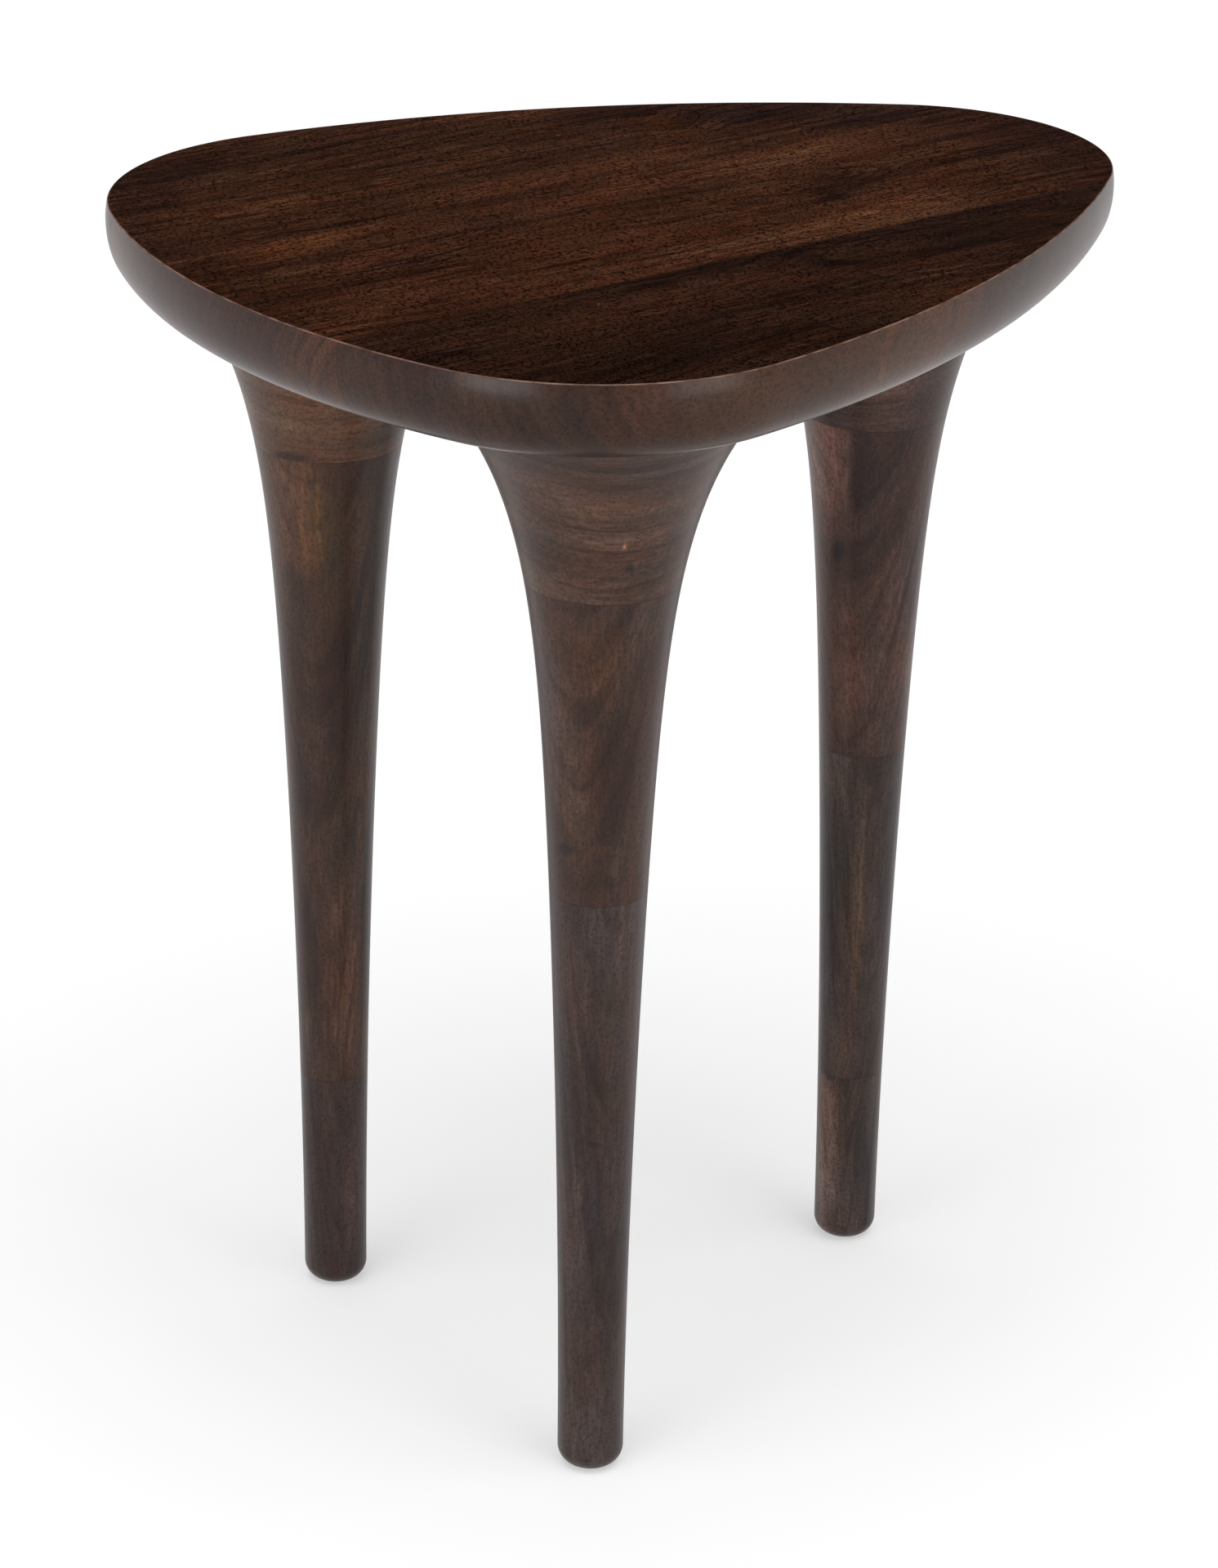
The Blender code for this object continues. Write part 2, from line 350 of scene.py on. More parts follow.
def leg_profile(upper, lower):
    """The profile of one length of a leg, from its upper bore down its outer side."""
    if upper == leg_height:
        start = bore(upper, bolt_bore_radius, -bolt_bore_depth)
    elif upper == head_joint:
        start = bore(upper - joint_gap / 2, head_bore_radius, -dowel_bore_depth)
    else:
        start = bore(upper - joint_gap / 2, shaft_bore_radius, -dowel_bore_depth)
    if lower == 0:
        return start + outer_side(start[-1][1], foot_round) + foot_end()
    radius = head_bore_radius if lower == head_joint else shaft_bore_radius
    end = bore(lower + joint_gap / 2, radius, dowel_bore_depth)
    return start + outer_side(start[-1][1], end[-1][1]) + end[::-1]


def turn(name, profile, spot):
    """A solid turned about the vertical through a spot from (radius, height) points."""
    wire = bpy.data.meshes.new(name)
    edges = [(i, i + 1) for i in range(len(profile) - 1)]
    wire.from_pydata([(radius, 0.0, height) for radius, height in profile], edges, [])
    piece = add_object(name, wire)
    screw = piece.modifiers.new("turning", "SCREW")
    screw.steps = leg_sides
    screw.render_steps = leg_sides
    screw.use_merge_vertices = True
    screw.merge_threshold = weld_reach
    baked_down(piece)
    bpy.data.meshes.remove(wire)
    piece.data.transform(Matrix.Translation((spot[0], spot[1], 0.0)))
    piece.data.shade_smooth()
    piece.data.set_sharp_from_angle(angle=corner_angle)
    return piece


# The figure in the wood is laid out in millimetres
mm = 0.001

# How long along the grain and how wide across it one feature of each kind is
band_size = (280.0, 12.0)
line_size = (115.0, 3.8)
fibre_size = (15.0, 1.5)
fleck_size = (1.6, 1.4)
cloud_size = (70.0, 26.0)
hue_size = (52.0, 11.0)
bend_size = (150.0, 55.0)
calm_size = (90.0, 30.0)
ripple_size = (30.0, 14.0)
ripple_share = 0.12
shell_length = 20.0
scuff_size = 32.0
mottle_size = (3.5, 18.0)
wear_and_glint_size = 9.0

# Where in the noise each kind of feature begins and ends, and what it is there
line_ramp = (-0.16, 0.04, -1.0, 0.0)
pore_ramp = (-0.14, 0.0, -1.0, 0.0)
fibre_ramp = (-0.2, 0.2, -1.15, 0.85)
busy_ramp = (-0.18, 0.18, 0.7, 1.4)
wear_and_glint_ramp = (-0.15, 0.15, 0.25, 0.85)
hue_ramp = (-0.5, 0.5)

# These offsets keep a second noise of the same wood apart from its first one
calm_offset = 9.0
hue_offset = 5.0
board_offset = 31.0
leg_offset = 17.0

# How far fibres and pores stand up
fibre_relief = 0.5
pore_relief = 0.1
relief_strength = 0.25
relief_depth = 0.0001

# A patch keeps its full strength out to this share of its half sizes, and the streaks in the
# wood fray its rim this much
patch_core = 0.25
patch_fray = 1.2

# Patches drift with the wood: how long and wide one wave is, and how far it moves them, in
# millimetres on the boards, and in degrees and millimetres on the legs
board_wave = (60.0, 25.0)
board_drift = (40.0, 12.0)
leg_wave = (20.0, 30.0)
leg_drift = (16.0, 12.0)

# The places of the colour sockets on a Mix node
MIX_FACTOR, MIX_A, MIX_B, MIX_RESULT = 0, 6, 7, 2

# A soft oval laid over the wood: its middle, its half sizes, its turn in degrees, and how it
# changes the colour there: by a number of doublings, and by a hue
Patch = namedtuple("Patch", "u v length width turn doublings hue")

# An oval in which the growth rings bulge, as round a knot, by a number of millimetres
Hump = namedtuple("Hump", "u v length width turn rise")

# How strongly each kind of feature lightens and darkens the wood, in doublings of its colour,
# how far its hue wanders, and how rough its lacquer is
Look = namedtuple("Look", "bands lines fibres flecks clouds hues roughness")

# How a length of wood was sawn: the pith's place across the grain and in depth, the slope of
# the grain to the length, how far the rings waver, and where its noise starts
Sawn = namedtuple("Sawn", "pith_across pith_depth slope waver seed")

# The hues of patches
plain = (1.00, 1.00, 1.00)
amber = (0.99, 1.00, 0.84)
golden = (1.02, 1.00, 0.68)
rosy = (1.03, 0.97, 0.94)
russet = (1.20, 0.93, 0.82)
pale = (0.93, 1.00, 1.04)
olive = (0.95, 1.05, 0.86)
ashen = (0.94, 1.02, 1.12)
plum = (0.98, 0.95, 1.18)

# The hues between which the wood wanders
warm = (1.10, 0.97, 0.90)
cool = (0.93, 1.03, 1.07)

# How far red, green and blue follow the tone: lighter wood is greyer too
tone_shares = (("X", 0.86), ("Y", 1.05), ("Z", 1.20))


def linear(channel):
    """One 8-bit display value as linear light."""
    value = channel / 255
    return value / 12.92 if value <= 0.04045 else ((value + 0.055) / 1.055) ** 2.4


def display(red, green, blue):
    """A display colour as the linear colour that a shader takes."""
    return (linear(red), linear(green), linear(blue), 1.0)


class Number:
    """A number in a node tree. Its arithmetic adds the nodes that work it out."""

    def __init__(self, tree, socket):
        self.tree = tree
        self.socket = socket

    def __add__(self, other):
        return math_node(self.tree, "ADD", self, other)

    def __radd__(self, other):
        return math_node(self.tree, "ADD", other, self)

    def __sub__(self, other):
        return math_node(self.tree, "SUBTRACT", self, other)

    def __rsub__(self, other):
        return math_node(self.tree, "SUBTRACT", other, self)

    def __mul__(self, other):
        return math_node(self.tree, "MULTIPLY", self, other)

    def __truediv__(self, other):
        return math_node(self.tree, "DIVIDE", self, other)


def feed(tree, socket, value):
    """Link a number or a socket into a socket, or set a plain value on it."""
    if isinstance(value, Number):
        value = value.socket
    if isinstance(value, bpy.types.NodeSocket):
        tree.links.new(value, socket)
    else:
        socket.default_value = value


def add_node(tree, kind, inputs, **settings):
    """A shader node with its settings, fed from a dictionary of inputs."""
    made = tree.nodes.new("ShaderNode" + kind)
    for name, value in settings.items():
        setattr(made, name, value)
    for name, value in inputs.items():
        feed(tree, made.inputs[name], value)
    return made


def math_node(tree, operation, *values):
    """One Math node."""
    made = add_node(tree, "Math", dict(enumerate(values)), operation=operation)
    return Number(tree, made.outputs[0])


def ramp(value, low, high, start=0.0, end=1.0):
    """A smooth change from start to end while a number goes from low to high."""
    inputs = {"Value": value, "From Min": low, "From Max": high, "To Min": start, "To Max": end}
    made = add_node(value.tree, "MapRange", inputs, interpolation_type="SMOOTHSTEP")
    return Number(value.tree, made.outputs["Result"])


def noise(x, y, z, detail=2.0, roughness=0.5):
    """Smooth noise round zero, within about a half, at one feature a unit."""
    tree = x.tree
    vector = add_node(tree, "CombineXYZ", {"X": x, "Y": y, "Z": z}).outputs[0]
    inputs = {"Vector": vector, "Scale": 1.0, "Detail": detail, "Roughness": roughness}
    made = add_node(tree, "TexNoise", inputs, noise_dimensions="3D")
    return Number(tree, made.outputs[0]) - 0.5


def drawn_out(along, across, depth, size, seed, detail=2.0, roughness=0.5):
    """Noise in features of a given length along the grain and width across it."""
    length, width = size
    return noise(along / length + seed, across / width, depth / width, detail, roughness)


def mix(factor, first, second, blend="MIX"):
    """A colour between two, or the first one blended with the second."""
    made = add_node(factor.tree, "Mix", {}, data_type="RGBA", blend_type=blend)
    feed(factor.tree, made.inputs[MIX_FACTOR], factor)
    feed(factor.tree, made.inputs[MIX_A], first)
    feed(factor.tree, made.inputs[MIX_B], second)
    return made.outputs[MIX_RESULT]


def new_material(name):
    """A material with its node tree and its Principled shader."""
    material = bpy.data.materials.new(name)
    material.use_nodes = True
    return material, material.node_tree, material.node_tree.nodes["Principled BSDF"]


def position(tree):
    """The point on the object, as three numbers in millimetres."""
    place = add_node(tree, "TexCoord", {}).outputs["Object"]
    parts = add_node(tree, "SeparateXYZ", {"Vector": place})
    return [Number(tree, parts.outputs[i]) / mm for i in range(3)]


def upwardness(tree):
    """How far the surface faces up: 1 on level ground, 0 on a wall, -1 underneath."""
    normal = add_node(tree, "TexCoord", {}).outputs["Normal"]
    return Number(tree, add_node(tree, "SeparateXYZ", {"Vector": normal}).outputs[2])


def from_middle(u, v, oval):
    """The distance from an oval's middle: 0 there and 1 on its rim."""
    tree = u.tree
    inputs = {
        "Vector": add_node(tree, "CombineXYZ", {"X": u, "Y": v}).outputs[0],
        "Location": (oval.u, oval.v, 0.0),
        "Rotation": (0.0, 0.0, math.radians(oval.turn)),
        "Scale": (oval.length, oval.width, 1.0),
    }
    local = add_node(tree, "Mapping", inputs, vector_type="TEXTURE").outputs[0]
    distance = add_node(tree, "VectorMath", {0: local}, operation="LENGTH")
    return Number(tree, distance.outputs["Value"])


def tinted(colour, u, v, fray, patches, strength=1.0):
    """A colour with every patch laid over it. The fray breaks up the rims of the patches."""
    for patch in patches:
        tint = [2.0 ** patch.doublings * channel for channel in patch.hue] + [1.0]
        factor = ramp(from_middle(u, v, patch) + fray, patch_core, 1.0, strength, 0.0)
        colour = mix(factor, colour, tint, "MULTIPLY")
    return colour


def near(value, place, reach):
    """1 at a place and 0 further from it than reach."""
    distance = math_node(value.tree, "ABSOLUTE", value - place)
    return ramp(distance, 0.0, reach, 1.0, 0.0)


def wood_figure(along, across, depth, look, sawn, humps):
    """(tone, streaks, relief): the figure at a point in the wood's own axes, by its rings.

    The tone is in doublings of the colour. The streaks break up the rims of patches, and the
    relief stands for the fibres and open pores.
    """
    seed = sawn.seed
    bend = drawn_out(along, across, depth, bend_size, seed)
    ripple = drawn_out(along, across, depth, ripple_size, seed)
    side = across - sawn.pith_across + (bend + ripple * ripple_share) * sawn.waver
    deep_in = depth - sawn.pith_depth + along * sawn.slope
    ring = math_node(along.tree, "SQRT", side * side + deep_in * deep_in)
    for hump in humps:
        ring = ring + ramp(from_middle(along, across, hump), 0.0, 1.0, hump.rise, 0.0)
    shell = deep_in / shell_length
    bands = drawn_out(along, ring, shell, band_size, seed, detail=3.0, roughness=0.55)
    lines = drawn_out(along, ring, shell, line_size, -seed, detail=3.0, roughness=0.6)
    fibres = drawn_out(along, side, deep_in, fibre_size, seed, roughness=0.6)
    flecks = drawn_out(along, side, deep_in, fleck_size, -seed)
    clouds = drawn_out(along, across, depth, cloud_size, seed, detail=3.0)
    busy = ramp(drawn_out(along, across, depth, calm_size, seed + calm_offset), *busy_ramp)
    dark_lines = ramp(lines, *line_ramp)
    pores = ramp(flecks, *pore_ramp)
    fine = ramp(fibres, *fibre_ramp)
    grain = bands * look.bands + dark_lines * look.lines + fine * look.fibres
    tone = grain * busy + pores * look.flecks + clouds * look.clouds
    return tone, lines, fibres * fibre_relief + pores * pore_relief


def wood_colour(along, across, depth, stain, tone, look, seed):
    """The stained colour, lightened by the tone and wandering between a warm and a cool hue."""
    hue = drawn_out(along, across, depth, hue_size, seed + hue_offset, detail=3.0)
    base = display(*stain)
    redder, greyer = ([a * b for a, b in zip(base, tint)] + [1.0] for tint in (warm, cool))
    colour = mix(ramp(hue * look.hues, *hue_ramp), redder, greyer)
    gains = {axis: math_node(tone.tree, "POWER", 2.0, tone * share) for axis, share in tone_shares}
    inputs = {0: colour, 1: add_node(tone.tree, "CombineXYZ", gains).outputs[0]}
    return add_node(tone.tree, "VectorMath", inputs, operation="MULTIPLY").outputs[0]


def lacquer(tree, shader, colour, relief, roughness, specular):
    """Feed the shader: colour, the roughness of the lacquer, and the relief of the pores."""
    feed(tree, shader.inputs["Base Color"], colour)
    feed(tree, shader.inputs["Roughness"], roughness)
    shader.inputs["Specular IOR Level"].default_value = specular
    inputs = {"Strength": relief_strength, "Distance": relief_depth, "Height": relief}
    bump = add_node(tree, "Bump", inputs)
    feed(tree, shader.inputs["Normal"], bump.outputs[0])


board_look = Look(1.6, 0.90, 0.60, 3.00, 1.4, 2.0, 0.29)
head_look = Look(2.2, 0.80, 0.40, 0.80, 2.2, 2.8, 0.36)
shaft_look = Look(2.2, 0.90, 0.35, 0.80, 2.4, 2.8, 0.36)
dowel_look = Look(1.0, 0.20, 0.20, 0.20, 0.8, 2.0, 0.62)

# The flat upper face is rubbed to a smoother lacquer than the turned and rounded parts, and
# the scuffs and the relief of the wood make it uneven
face_roughness = 0.17
board_scuffs, board_roughening = 0.06, 0.04
leg_scuffs, leg_roughening = 0.10, 0.08
dowel_roughening = 0.1
wood_specular = 0.26
board_specular = 0.22

# The rounded edge shows calmer figure, a mottle of its own and a lighter, cooler tone; that tone is
# partly the wood's own and partly a painted sheen of the grey light the edge mirrors
face_level = 0.999
rim_mottle = 1.1
rim_calm = 0.7
rim_tone_and_sheen = 0.16
rim_hue_and_sheen = (0.98, 1.04, 1.14, 1.0)

# Glue joints show as dark hair lines
glue_reach = 0.35
glue_colour = (18, 10, 8)
board_glue = 0.5
leg_glue = 0.45

# Where the surface turns from the wall to the flat face, the arris is lighter in patches: partly
# stain worn off it, partly a painted highlight of the light it catches
arris_low, arris_low_fade = 0.3, 0.1
arris_high, arris_high_fade = 0.93, 0.05
worn_and_glinting_arris = (134, 104, 92)


def board_material(name, stain, sawn, seams, patches, humps, rim_patches):
    """The wood of one board of the top, its grain along X."""
    material, tree, shader = new_material(name)
    x, y, z = position(tree)
    depth = z - table_height / mm
    tone, streaks, relief = wood_figure(x, y, depth, board_look, sawn, humps)
    up = upwardness(tree)
    rim = ramp(up, arris_high, face_level, 1.0, 0.0)
    fine, tall = mottle_size
    mottle = noise(x / fine, y / fine, depth / tall, detail=3.0, roughness=0.6)
    # The rim's raised tone and, below, its cooler hue are partly the wood's own and partly a
    # painted sheen
    tone = tone * (1.0 - rim * rim_calm) + (mottle * rim_mottle + rim_tone_and_sheen) * rim
    colour = wood_colour(x, y, depth, stain, tone, board_look, sawn.seed)
    colour = mix(rim, colour, rim_hue_and_sheen, "MULTIPLY")
    long, wide = board_wave
    drift = noise(x / long, y / wide, depth / wide)
    waver = noise(x / long + board_offset, y / wide, depth / wide)
    u, v = x + drift * board_drift[0], y + waver * board_drift[1]
    colour = tinted(colour, u, v, streaks * patch_fray, patches)
    # On the rim: warmer wood in front, and painted shade on the left end
    colour = tinted(colour, u, v, streaks * patch_fray, rim_patches, rim)
    for seam in seams:
        colour = mix(near(y, seam / mm, glue_reach) * board_glue, colour, display(*glue_colour))
    # The lighter arris is partly worn stain and partly a painted highlight
    above_wall = ramp(up, arris_low, arris_low + arris_low_fade)
    below_face = ramp(up, arris_high, arris_high + arris_high_fade, 1.0, 0.0)
    wear_and_glint = ramp(noise(x / wear_and_glint_size, y / wear_and_glint_size, depth / wear_and_glint_size), *wear_and_glint_ramp)
    colour = mix(above_wall * below_face * wear_and_glint, colour, display(*worn_and_glinting_arris))
    scuff = noise(x / scuff_size, y / scuff_size, depth / scuff_size, detail=3.0)
    rough = ramp(rim, 0.0, 1.0, face_roughness, board_look.roughness)
    rough = rough + scuff * board_scuffs + relief * board_roughening
    lacquer(tree, shader, colour, relief * rim, rough, board_specular)
    return material


def leg_material(name, stain, look, sawn, spot, towards, patches, joints):
    """The wood of one length of a leg: its grain upright, or level in a head block.

    Its patches lie by an angle from the direction of the main view, in degrees, and a height.
    """
    material, tree, shader = new_material(name)
    x, y, z = position(tree)
    x = x - spot[0] / mm
    y = y - spot[1] / mm
    cosine, sine = math.cos(towards), math.sin(towards)
    out = x * cosine + y * sine
    aside = y * cosine - x * sine
    axes = (aside, z, out) if look is head_look else (z, aside, out)
    tone, streaks, relief = wood_figure(*axes, look, sawn, ())
    colour = wood_colour(*axes, stain, tone, look, sawn.seed)
    around = math_node(tree, "ARCTAN2", aside, out) * math.degrees(1.0)
    wide, tall = leg_wave
    drift = noise(x / wide, y / wide, z / tall)
    waver = noise(x / wide + leg_offset, y / wide, z / tall)
    u, v = around + drift * leg_drift[0], z + waver * leg_drift[1]
    colour = tinted(colour, u, v, streaks * patch_fray, patches)
    for joint in joints:
        colour = mix(near(z, joint / mm, glue_reach) * leg_glue, colour, display(*glue_colour))
    scuff = noise(x / scuff_size, y / scuff_size, z / scuff_size, detail=3.0)
    rough = look.roughness + scuff * leg_scuffs + relief * leg_roughening
    lacquer(tree, shader, colour, relief, rough, wood_specular)
    return material


dowel_stain = (190, 150, 102)
dowel_sawn = Sawn(60.0, 20.0, 0.02, 3.0, 4.0)


def bare_dowel_material():
    """Bare pale hardwood with straight upright grain."""
    material, tree, shader = new_material("bare_dowel")
    x, y, z = position(tree)
    tone, _, relief = wood_figure(z, x, y, dowel_look, dowel_sawn, ())
    colour = wood_colour(z, x, y, dowel_stain, tone, dowel_look, dowel_sawn.seed)
    rough = dowel_look.roughness + relief * dowel_roughening
    lacquer(tree, shader, colour, relief, rough, wood_specular)
    return material


# Turning rings and tarnish on metal: features to the millimetre across and upwards, and how
# strongly each one shows in the colour, the roughness and the relief
ring_pitch = (0.05, 9.0)
tarnish_pitch = (0.4, 0.25)
ring_share = 0.8
metal_ramp = (-0.4, 0.4)
tarnish_roughening = 0.25
ring_strength = 0.3
ring_depth = 0.00005


def turned_metal(name, dark, light, roughness):
    """Metal with fine turning rings and a slightly uneven tarnish."""
    material, tree, shader = new_material(name)
    x, y, z = position(tree)
    across, up = ring_pitch
    rings = noise(x * across, y * across, z * up)
    across, up = tarnish_pitch
    tarnish = noise(x * across, y * across, z * up, detail=3.0)
    factor = ramp(rings * ring_share + tarnish, *metal_ramp)
    feed(tree, shader.inputs["Base Color"], mix(factor, display(*dark), display(*light)))
    shader.inputs["Metallic"].default_value = 1.0
    feed(tree, shader.inputs["Roughness"], roughness + tarnish * tarnish_roughening)
    inputs = {"Strength": ring_strength, "Distance": ring_depth, "Height": rings}
    bump = add_node(tree, "Bump", inputs)
    feed(tree, shader.inputs["Normal"], bump.outputs[0])
    return material


# The camera of the main view, from which the figure of the legs is laid out
camera_place = Vector((-1.2686, -1.6790, 1.1816))
camera_azimuth = math.radians(-36.5)
camera_pitch = math.radians(23.376)
camera_roll = math.radians(0.889)
camera_lens = 113.35
sensor_width = 36.0
view_depth = 200.0

# What marks the front board: a dark strip and dark folds by the seam, a lighter bay with arched
# rings below it, darker corners and two pale specks
front_patches = (
    Patch(-70, -112, 105, 24, -3, 0.55, rosy),
    Patch(45, -122, 60, 10, -4, 0.35, rosy),
    Patch(-150, -84, 60, 8, 0, 0.30, plain),
    Patch(-222, -125, 42, 42, 0, -0.40, plum),
    Patch(-130, -165, 115, 36, -2, -0.60, plain),
    Patch(32, -146, 52, 28, 20, 0.45, rosy),
    Patch(20, -172, 40, 14, 10, 0.35, rosy),
    Patch(-72, -89, 22, 8, 0, -0.45, plain),
    Patch(70, -82, 160, 8, 0, -0.75, plum),
    Patch(9, -99, 15, 26, 18, -0.85, plain),
    Patch(20, -112, 26, 6, -35, -0.45, plain),
    Patch(76, -98, 46, 16, -12, -0.60, plum),
    Patch(82, -118, 40, 9, -8, -0.55, plum),
    Patch(118, -112, 18, 9, -35, -0.50, plain),
    Patch(130, -97, 16, 6, -35, 0.60, amber),
    Patch(158, -96, 30, 9, -20, -0.40, plum),
    Patch(-106, -95, 1.5, 1.1, 0, 2.2, plain),
    Patch(130, -85, 1.5, 1.1, 0, 2.2, plain),
)
front_humps = (Hump(-20, -188, 170, 62, 0, 30), Hump(10, -82, 30, 34, -20, 9))

# What marks the middle board: a knot with dark curved lines, the light wood beside it, fine
# straight lines towards the darker tip, and flecked wood at the far end
middle_patches = (
    Patch(80, -62, 74, 22, 2, 0.75, pale),
    Patch(74, -55, 28, 10, 6, 0.35, amber),
    Patch(112, -46, 46, 14, 6, 0.40, plain),
    Patch(5, -64, 150, 22, 0, 0.35, pale),
    Patch(-60, -38, 90, 12, 0, 0.25, rosy),
    Patch(70, 36, 116, 22, -2, 0.75, pale),
    Patch(-10, 34, 60, 12, 0, 0.25, rosy),
    Patch(-160, 42, 56, 14, 6, 0.70, amber),
    Patch(-150, 12, 34, 8, 5, 0.35, rosy),
    Patch(-172, -8, 92, 26, 0, -0.20, plain),
    Patch(-150, -74, 90, 11, 0, -0.30, plain),
    Patch(88, -14, 42, 19, 10, -1.15, rosy),
    Patch(76, -28, 16, 12, 60, -0.75, plum),
    Patch(8, 9, 62, 11, -6, -0.50, olive),
    Patch(214, -14, 56, 110, 0, -0.85, plum),
    Patch(-225, 5, 46, 100, 0, -0.35, plain),
    Patch(-140, -2, 20, 13, 0, -0.30, plum),
    Patch(-82, 26, 26, 10, 0, -0.45, plum),
    Patch(-114, 20, 24, 7, 12, -0.40, plain),
    Patch(110, 5, 22, 3.0, -22, -1.1, plain),
    Patch(108, -14, 32, 3.4, 24, -0.9, plain),
    Patch(172, -3, 38, 3.0, -9, -1.0, plain),
    Patch(-132, 37, 28, 2.4, 8, -0.8, plain),
    Patch(-140, 49.5, 100, 2.0, 0, 0.5, plain),
    Patch(150, 45, 64, 4, -3, 0.40, plain),
)
tip_line_pitch = 6.5
tip_line_count = 7
tip_line_places = [-27 - tip_line_pitch * i for i in range(tip_line_count)]
tip_lines = tuple(Patch(150, place, 64, 2.0, -3, -0.55, plain) for place in tip_line_places)
middle_humps = (Hump(88, -12, 60, 24, 0, 16), Hump(-150, 5, 70, 26, 0, 9))

# What marks the back board: a dark end behind the tip with a swirl of flecks before it, a dark
# corner, and single lines along the grain
back_patches = (
    Patch(150, 86, 74, 36, -24, -0.65, plum),
    Patch(178, 60, 74, 20, -6, -0.60, plum),
    Patch(78, 134, 46, 15, -26, -0.50, plum),
    Patch(112, 104, 34, 16, -24, -0.35, plum),
    Patch(82, 102, 9, 24, 10, 0.50, amber),
    Patch(-8, 65, 120, 20, 0, 0.45, rosy),
    Patch(52, 66, 34, 18, 0, 0.35, plain),
    Patch(-140, 100, 60, 18, 2, 0.55, amber),
    Patch(-105, 122, 36, 10, 2, 0.30, amber),
    Patch(-20, 118, 44, 9, 0, 0.15, plain),
    Patch(30, 166, 44, 14, -8, 0.50, rosy),
    Patch(-160, 166, 72, 30, 22, -0.80, plum),
    Patch(-190, 130, 40, 24, 40, -0.50, plum),
    Patch(-222, 66, 30, 44, 0, -0.30, plum),
    Patch(-95, 153, 60, 12, 4, -0.35, plain),
    Patch(-10, 146, 60, 11, -4, -0.25, olive),
    Patch(-65, 163, 76, 3.0, 2, -0.9, plain),
    Patch(-68, 130, 44, 2.8, 0, 0.6, plain),
    Patch(27, 122, 1.5, 1.1, 0, 2.2, plain),
)
back_humps = (Hump(84, 104, 26, 36, 10, 12),)

# Warmer wood that shows on the rounded edge in front, and painted shade on its left end, which is
# darkened where it mirrors less light
front_rim_patches = (
    Patch(-18, -182, 66, 30, 18, 0.7, amber),
    Patch(-112, -181, 42, 13, 0, 0.7, amber),
    Patch(-24, -184, 5, 40, 0, 0.5, amber),
    Patch(-104, -198, 52, 24, 0, 0.45, amber),
    Patch(-156, -188, 22, 20, 0, 0.35, rosy),
)
# Painted shade: the left end of the edge is darkened where it mirrors less light
left_rim_painted_shade = (Patch(-228, 10, 34, 120, 0, -0.7, plum),)

# What marks the lengths of the legs
front_head_patches = (
    Patch(0, 503, 90, 9, 0, -0.3, plain),
    Patch(8, 479, 75, 5, 3, 0.3, amber),
    Patch(0, 468, 60, 3, 0, -0.3, plain),
    Patch(15, 459, 3, 1.4, 0, 2.2, plain),
    Patch(18, 449, 4, 2.6, 0, -1.6, plain),
)
front_upper_patches = (
    Patch(54, 350, 28, 110, 0, 0.4, plain),
    Patch(0, 404, 30, 28, 0, 0.55, golden),
    Patch(-32, 405, 26, 40, 0, 0.4, rosy),
    Patch(10, 350, 40, 50, 0, -0.80, russet),
    Patch(0, 330, 26, 120, 0, -0.20, plain),
    Patch(-46, 340, 26, 60, 0, 0.3, plain),
    Patch(-40, 312, 16, 3.4, 0, -1.2, plain),
    Patch(2, 315, 34, 2.8, 0, 0.5, amber),
    Patch(12, 300, 12, 5, 0, -0.9, plain),
)
front_lower_patches = (
    Patch(30, 278, 4, 18, 0, 0.6, amber),
    Patch(-12, 246, 4, 24, 0, 0.5, amber),
    Patch(-32, 240, 26, 52, 0, 0.35, rosy),
    Patch(14, 225, 26, 60, 0, 0.15, amber),
    Patch(56, 230, 28, 90, 0, 0.4, plain),
    Patch(6, 240, 30, 66, 0, -0.55, plain),
    Patch(0, 100, 30, 100, 0, -0.20, plain),
    Patch(-50, 80, 28, 80, 0, 0.45, plain),
    Patch(0, 173, 15, 2.2, 0, -1.2, plain),
    Patch(-20, 148, 7, 9, 0, 0.9, amber),
    Patch(0, 138, 28, 34, 0, -0.35, plum),
)
back_head_patches = (
    Patch(-5, 458, 60, 30, 0, 0.5, rosy),
    Patch(-35, 433, 20, 4.0, 0, -1.4, plain),
    Patch(54, 470, 34, 60, 0, -0.7, plum),
)
back_upper_patches = (
    Patch(-36, 408, 50, 48, 0, 1.6, amber),
    Patch(0, 390, 28, 70, 0, 0.15, golden),
    Patch(-24, 400, 4, 36, 0, 0.5, amber),
    Patch(-8, 405, 3, 34, 0, 0.4, amber),
    Patch(50, 390, 26, 90, 0, -0.7, rosy),
    Patch(4, 328, 34, 50, 0, -0.80, russet),
    Patch(-46, 262, 26, 34, 0, -0.45, plum),
    Patch(14, 176, 40, 66, 0, 1.25, plain),
    Patch(46, 130, 30, 26, 0, 0.6, pale),
    Patch(-52, 128, 20, 30, 0, 0.4, plain),
    Patch(54, 170, 26, 60, 0, 0.45, plain),
    Patch(-50, 141, 5, 15, 0, 0.8, pale),
    Patch(-14, 143, 4, 15, 0, 0.6, pale),
    Patch(4, 141, 4, 13, 0, 0.5, pale),
    Patch(16, 143, 5, 12, 0, 0.4, pale),
)
back_lower_patches = (
    Patch(25, 47, 16, 38, 0, 0.5, rosy),
    Patch(46, 60, 30, 60, 0, 0.25, plain),
)
tip_head_patches = (Patch(8, 456, 44, 30, 0, 0.9, rosy),)
